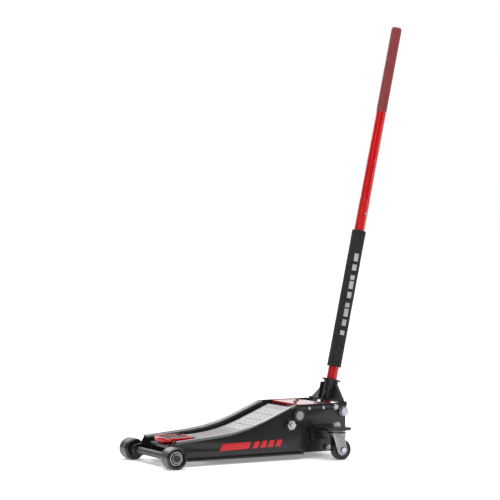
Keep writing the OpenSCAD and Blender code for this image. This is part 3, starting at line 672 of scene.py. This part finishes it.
for side, flip in SIDES:
    low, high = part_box(f"wheel_bearing_{side}")
    ring_radius = (high.z - low.z) / 2 / MM
    inner, outer = sorted((abs(low.y) / MM, abs(high.y) / MM))
    rim_inside = ring_radius - RIM_WIDE
    rim = [(rim_inside, inner), (ring_radius, inner), (ring_radius, outer - 0.8), (ring_radius - 0.8, outer),
           (rim_inside + 0.8, outer), (rim_inside, outer - 0.8)]
    face = [(BEARING_BORE, inner), (rim_inside, inner), (rim_inside, outer - 1.4), (BEARING_BORE, outer - 1.4)]
    axle_line = y_axis(0, 0, WHEEL_R)
    piece(f"wheel_bearing_rim_{side}", [lathe(rim, axle_line, 72)], f"front_wheel_{side}", chrome,
          [f"wheel_bearing_{side}"], flip=flip)
    piece(f"wheel_bearing_face_{side}", [lathe(face, axle_line, 72)], f"front_wheel_{side}", satin_black,
          flip=flip)

# ---- Casters ----

CASTER_X, CASTER_Y, CASTER_WHEEL, STEM_BORE = -494, 160, (-506, 28.5), 6.1


def bead(outline, y, radius):
    """A round raised bead that follows an outline."""
    return editable(wire([at(x, y, z) for x, z in outline], radius, 2, closed=True))


def fork_parts():
    """A caster fork's two cheeks and its dome, and the beads round the cheeks' edges, made brighter than the
    cheeks as a painted highlight.
    """
    wx, wz = CASTER_WHEEL
    cheek = rounded([(wx + 15, wz - 15, 14.9), (CASTER_X + 22, 77.4, 3), (CASTER_X - 13, 77.4, 3),
                     (wx - 15, wz - 15, 14.9)])
    inset = rounded([(wx + 13.4, wz - 13.4, 13.2), (CASTER_X + 20, 74, 3), (CASTER_X - 12, 74, 3),
                     (wx - 13.4, wz - 13.4, 13.2)])
    parts = []
    for mirror in (1, -1):
        y0, y1 = sorted((CASTER_Y + 14.0 * mirror, CASTER_Y + 15.6 * mirror))
        parts.append(plate(cheek, y0, y1, 0.5, [circle(wx, wz, 4.2)]))
    dome = (
        [(STEM_BORE, 75.0), (21, 75.0), (25.4, 73.6), (26, 75)]
        + arc((24.2, 75.7), 1.8, 0, 90, 4)
        + [(15, 77.5), (STEM_BORE, 77.5)]
    )
    parts.append(lathe(dome, Matrix.Translation(at(CASTER_X, CASTER_Y, 0)), 72))
    return parts, [bead(inset, CASTER_Y + 15.4 * mirror, 1.2) for mirror in (1, -1)]


def race_parts():
    """Both casters' swivel races."""
    profile = (
        [(STEM_BORE, 77.8), (14, 77.8), (20, 78.6)]
        + arc((21, 80.2), 1.4, -90, 90, 5)
        + [(18, 82), (16.5, 83.9), (STEM_BORE, 83.9)]
    )
    return [lathe(profile, Matrix.Translation(at(CASTER_X, y, 0)), 72) for y in (CASTER_Y, -CASTER_Y)]


for side, flip in SIDES:
    cheeks, rims = fork_parts()
    piece(f"caster_fork_pressing_{side}", cheeks, f"caster_{side}", fork_plate,
          [f"caster_fork_{side}"], flip=flip)
    # The beads belong to the same plated pressing as the cheeks; their brighter chrome is a painted highlight.
    piece(f"caster_fork_rims_{side}", rims, f"caster_{side}", chrome, flip=flip)
    piece(f"caster_bracket_forging_{side}", [bevelled(f"caster_bracket_{side}", 2.4)], "root", black_paint,
          [f"caster_bracket_{side}"], flat_over=100)
piece("caster_swivel_races", race_parts(), "root", chrome, ["caster_races"])

# ---- Cover, head, socket and hydraulic unit: rounded copies of their CAD shapes ----

piece("power_cover_pressing", [bevelled("power_cover", 0.8, 3, 20)], "root", cover_red,
      ["power_cover"], flat_over=40)
piece("saddle_head_forging", [bevelled("saddle_head", 1.5)], "saddle_head", black_paint,
      ["saddle_head"], flat_over=100)
piece("handle_socket_casting", [bevelled("handle_socket", 1.2)], "handle_socket", black_paint,
      ["handle_socket"])
piece("pump_block_casting", [bevelled("pump_block", 1.5)], "root", cast, ["pump_block"],
      flat_over=100)
# The nuts are zinc. The bosses behind them, up to BOSS_FACE from the middle, are painted black
BOSS_FACE = 96.2
nuts = piece("link_nuts_and_bosses", [bevelled("link_nuts", 0.7)], "root", zinc, ["link_nuts"],
             flat_over=25)
nuts.data.materials.append(black_paint)
for face in nuts.data.polygons:
    face.material_index = int(abs(face.center.y) < BOSS_FACE * MM)

# ---- Return springs: they stretch between the tie rod and the arm's cross pin ----

spring_from, spring_to = middle("lower_tie_rod"), middle("ram_cross_pin")


COIL_R, COIL_TURNS, COIL_STEPS = 6, 11, 16


def coil_spring(y):
    """A coil with a hook at each end, as mesh data."""
    start = Vector((spring_from.x, y, spring_from.z))
    end = Vector((spring_to.x, y, spring_to.z))
    along = (end - start).normalized()
    side = Vector((0, 1, 0))
    over = along.cross(side)
    span = (end - start).length / MM

    def hook(centre, radius, low, high):
        turns = [math.radians(degrees) for degrees in range(low, high, 18)]
        return [centre + (along * math.cos(turn) + over * math.sin(turn)) * radius * MM for turn in turns]

    line = hook(start, 9.6, 40, 331)
    for i in range(COIL_TURNS * COIL_STEPS + 1):
        turn = 2 * math.pi * i / COIL_STEPS
        reach = 13 + (span - 25) * i / (COIL_TURNS * COIL_STEPS)
        line.append(start + along * reach * MM
                    + (over * math.cos(turn) + side * math.sin(turn)) * COIL_R * MM)
    line += hook(end, 8.6, 215, 506)
    return wire(line, 1.2, 1, closed=False)


for side, y in (("left", 0.055), ("right", -0.055)):
    data = coil_spring(y)
    sharpen(data, 50)
    spring = bpy.data.objects.new(f"return_spring_coil_{side}", data)
    scene.collection.objects.link(spring)
    dress(spring, steel)
    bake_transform(spring)
    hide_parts(f"return_spring_{side}")

# ---- Handle: lengths along its axis from the socket's pivot ----

TUBE, FOAM_FROM, FOAM_TO, GRIP_FROM, TOP = 15.0, 122.6, 522.6, 877.0, 1128.0
UPPER, UPPER_BORE, UPPER_FOOT, UPPER_STEP = 14.5, 10.95, 528.2, 620.5
foam_profile = (
    [(15.35, FOAM_FROM + 0.5)] + arc((18.4, FOAM_FROM + 1.9), 1.9, 250, 360, 5)
    + [(20.1 + 0.12 * math.sin(i * 0.7) * (0 < i < 40), FOAM_FROM + 4 + (FOAM_TO - FOAM_FROM - 8) * i / 40)
       for i in range(41)]
    + arc((18.4, FOAM_TO - 1.9), 1.9, 0, 110, 5) + [(15.35, FOAM_TO - 0.5)]
)
foam = piece("foam_grip", [lathe(foam_profile, on_handle, 96)], "handle", foam_black, ["foam_sleeve"])


def on_skin(radius, turn, rise):
    """The place at a radius, a turn and a rise round the handle's axis."""
    return on_handle @ Vector((radius * MM * math.cos(turn), radius * MM * math.sin(turn), rise * MM))


def knurl(steps=132, rows=460):
    """The grip: a hollow tube whose skin rises in small diamonds, chamfered at its top end."""
    mesh = bmesh.new()
    turns = [2 * math.pi * step / steps for step in range(steps)]
    rings = []
    for row in range(rows + 1):
        rise = GRIP_FROM + (TOP - 3 - GRIP_FROM) * row / rows
        fade = min(1, row / 6, (rows - row) / 6)
        ring = []
        for turn in turns:
            grooves = math.sin(turn * 16 + rise * 1.15) * math.sin(turn * 16 - rise * 1.15)
            radius = TUBE - 0.55 + 0.5 * fade * min(1, abs(grooves) * 1.6)
            ring.append(mesh.verts.new(on_skin(radius, turn, rise)))
        rings.append(ring)
    for radius, rise in [(12.6, TOP), (10.4, TOP), (10.4, GRIP_FROM - 2), (14.4, GRIP_FROM - 2)]:
        rings.append([mesh.verts.new(on_skin(radius, turn, rise)) for turn in turns])
    skin(mesh, rings, closed=True)
    return mesh


upper_profile = (
    [(UPPER_BORE, UPPER_FOOT), (12.9, UPPER_FOOT), (12.9, UPPER_STEP - 2.7)]
    + arc((13.5, UPPER_STEP - 1.5), 1.0, 180, 90, 3)
    + [(UPPER, UPPER_STEP), (UPPER, GRIP_FROM - 2), (UPPER_BORE, GRIP_FROM - 2)]
)
piece("upper_tube", [lathe(upper_profile, on_handle, 96)], "handle", red_paint,
      ["handle_upper_tube"])
piece("knurled_grip", [knurl()], "handle", grip_red, angle=80)


def patch(from_turn, to_turn, from_rise, to_rise, radius):
    """A thin printed patch on the handle, curved round its axis, between two turns in degrees."""
    mesh = bmesh.new()
    inside = radius - 0.4
    corners = ((radius, from_rise), (radius, to_rise), (inside, to_rise), (inside, from_rise))
    rows = []
    for i in range(9):
        turn = math.radians(from_turn + (to_turn - from_turn) * i / 8)
        rows.append([mesh.verts.new(on_skin(r, turn, rise)) for r, rise in corners])
    skin(mesh, rows, closed=False)
    return mesh


print_white = moulded("white_print", (0.42, 0.42, 0.43), (0.32, 0.32, 0.33), 0.6, 500.0, 0.0001)
print_red = moulded("red_print", (0.72, 0.008, 0.014), (0.6, 0.005, 0.01), 0.35, 500.0, 0.0001)
bars = []
for index in range(9):
    low = 215 + index * 27
    bars.append(patch(58, 94, low, low + 13 + 5 * (index % 3), 20.45))
piece("foam_print_bars", bars, "handle", print_white)

# ---- Printed stripes on the side plates, and the plain grid printed on the arm ----


def sheet_on_plate(outline):
    """A thin printed shape on the side plate's outer face."""
    return plate([Vector(p) for p in outline], PLATE_OUT - 0.1, PLATE_OUT + 0.25, 0.1)


STRIPE_LEAN, STRIPE_HIGH = -8, 19


def stripe(front, rear, base):
    """A slanted bar between two distances along the plate; base is its lower edge's height at the front."""
    lift = 0.017 * (front - rear)
    return [
        (front, base),
        (front + STRIPE_LEAN, base + STRIPE_HIGH),
        (rear + STRIPE_LEAN, base + STRIPE_HIGH + lift),
        (rear, base + lift),
    ]


stripe_shapes = [stripe(-160, -250, 36)]
stripe_shapes += [stripe(-262 - 24 * i, -278 - 24 * i, 37.5 + 0.4 * i) for i in range(4)]
for side, flip in SIDES:
    piece(f"plate_stripes_{side}", [sheet_on_plate(shape) for shape in stripe_shapes], "root", print_red,
          flip=flip)
label_silver = moulded("label_foil", (0.25, 0.25, 0.26), (0.2, 0.2, 0.21), 0.38, 500.0, 0.00003)
label_pale = moulded("label_tiles", (0.5, 0.5, 0.51), (0.43, 0.43, 0.44), 0.45, 500.0, 0.00003)
label_dark = moulded("label_marks", (0.2, 0.2, 0.21), (0.16, 0.16, 0.17), 0.45, 500.0, 0.00003)
label_pink = moulded("label_lines", (0.4, 0.13, 0.14), (0.34, 0.1, 0.11), 0.4, 500.0, 0.00003)


def film(low, high, y0, y1, rise):
    """A thin film that lies on the arm's top from x = low to high."""
    return sweep(resample(arm_top, low, high, 6), [(y0, -rise), (y1, -rise), (y1, 0.05), (y0, 0.05)])


TILE_FROM, TILE_PITCH, TILE_SIZE = (-378, -53), (33, 27), (25, 23)
tiles, marks, lines = [], [], []
for row in range(4):
    for column in range(4):
        x = TILE_FROM[0] + row * TILE_PITCH[0]
        y = TILE_FROM[1] + column * TILE_PITCH[1]
        tiles.append(film(x, x + TILE_SIZE[0], y, y + TILE_SIZE[1], 0.45))
        marks.append(film(x + 5, x + 7, y + 3, y + 20 - 3 * (column % 2), 0.6))
        marks.append(film(x + 11, x + 19, y + 5 + 2 * (row % 2), y + 13, 0.6))
for row in range(5):
    x = -236 + row * 19
    lines.append(film(x, x + 3, -52 + 6 * (row % 2), 8 + 14 * (row % 3), 0.45))
    marks.append(film(x + 8, x + 9.5, -52, 40 - 8 * (row % 2), 0.45))
piece("arm_label_film", [film(-399, -132, -62, 62, 0.28)], "lift_arm", label_silver)
piece("arm_label_tiles", tiles, "lift_arm", label_pale)
piece("arm_label_marks", marks, "lift_arm", label_dark)
piece("arm_label_lines", lines, "lift_arm", label_pink)

# ---- Stage ----


def pale_floor():
    """A wide pale floor that runs out to the horizon."""
    mesh = bmesh.new()
    reach = 60.0
    mesh.faces.new([mesh.verts.new((x * reach, y * reach, 0)) for x, y in ((-1, -1), (1, -1), (1, 1), (-1, 1))])
    data = bpy.data.meshes.new("floor")
    mesh.to_mesh(data)
    obj = bpy.data.objects.new("floor", data)
    scene.collection.objects.link(obj)
    material, nodes, links, shader = new_material("pale_floor", (0.93, 0.93, 0.93), 0.7, specular=0.15)
    dust = noise(nodes, links, coordinates(nodes, links), 3.0)
    links.new(ramp(nodes, links, dust, [(0.3, grey(0.925)), (0.7, grey(0.94))]), shader.inputs["Base Color"])
    shader.inputs["Emission Color"].default_value = (1, 1, 1, 1)
    shader.inputs["Emission Strength"].default_value = 0.25
    dress(obj, material)


pale_floor()


def area_light(name, place, aim, size, power):
    data = bpy.data.lights.new(name, "AREA")
    data.shape = "RECTANGLE"
    data.size, data.size_y = size
    data.energy = power
    obj = bpy.data.objects.new(name, data)
    obj.location = place
    obj.rotation_euler = (Vector(aim) - Vector(place)).to_track_quat("-Z", "Y").to_euler()
    scene.collection.objects.link(obj)


area_light("softbox_over", (0.2, 0.2, 2.6), (0, 0, 0), (2.6, 1.2), 22)
area_light("softbox_front", (3.2, 2.6, 1.5), (0, 0, 0.3), (0.4, 2.2), 9)
area_light("softbox_side", (-2.8, 2.6, 1.6), (-0.2, 0, 0.4), (0.4, 2.2), 12)
area_light("softbox_back", (0.2, -3.0, 2.0), (0, 0, 0.2), (2.6, 0.8), 20)

sun_data = bpy.data.lights.new("skylight", "SUN")
sun_data.energy = 2.2
sun_data.angle = math.radians(70)
skylight = bpy.data.objects.new("skylight", sun_data)
skylight.rotation_euler = (math.radians(-14), math.radians(8), 0)
scene.collection.objects.link(skylight)

# The camera sees plain white beyond the floor. The object is lit by a dome whose bright wall stands behind it
WALL_WAY = Vector((-0.48, -0.86, 0.17))
world = bpy.data.worlds.new("studio")
scene.world = world
world.use_nodes = True
world_nodes, world_links = world.node_tree.nodes, world.node_tree.links
dome = world_nodes["Background"]
place = world_nodes.new("ShaderNodeTexCoord")
towards = world_nodes.new("ShaderNodeVectorMath")
towards.operation = "DOT_PRODUCT"
towards.inputs[1].default_value = WALL_WAY
world_links.new(place.outputs["Generated"], towards.inputs[0])
world_links.new(ramp(world_nodes, world_links, towards.outputs["Value"],
                     [(0.1, grey(0.16)), (0.85, grey(0.95)), (0.45, grey(0.42))]), dome.inputs["Color"])
white = world_nodes.new("ShaderNodeBackground")
seen = world_nodes.new("ShaderNodeLightPath")
choose = world_nodes.new("ShaderNodeMixShader")
world_links.new(seen.outputs["Is Camera Ray"], choose.inputs["Fac"])
world_links.new(dome.outputs["Background"], choose.inputs[1])
world_links.new(white.outputs["Background"], choose.inputs[2])
white.inputs["Color"].default_value = (1, 1, 1, 1)
world_links.new(choose.outputs["Shader"], world_nodes["World Output"].inputs["Surface"])
scene.view_settings.view_transform = "Standard"

# ---- Camera ----

EYE = Vector((2.7804, 4.8893, 0.6805))
AIM = Vector((0.0855, 0.0013, 0.5845))
camera_data = bpy.data.cameras.new("camera")
camera_data.lens = 143.1
camera_data.sensor_width = 36.0
camera_data.clip_end = 60
camera = bpy.data.objects.new("camera", camera_data)
camera.location = EYE
camera.rotation_euler = (AIM - EYE).to_track_quat("-Z", "Y").to_euler()
scene.collection.objects.link(camera)
scene.camera = camera
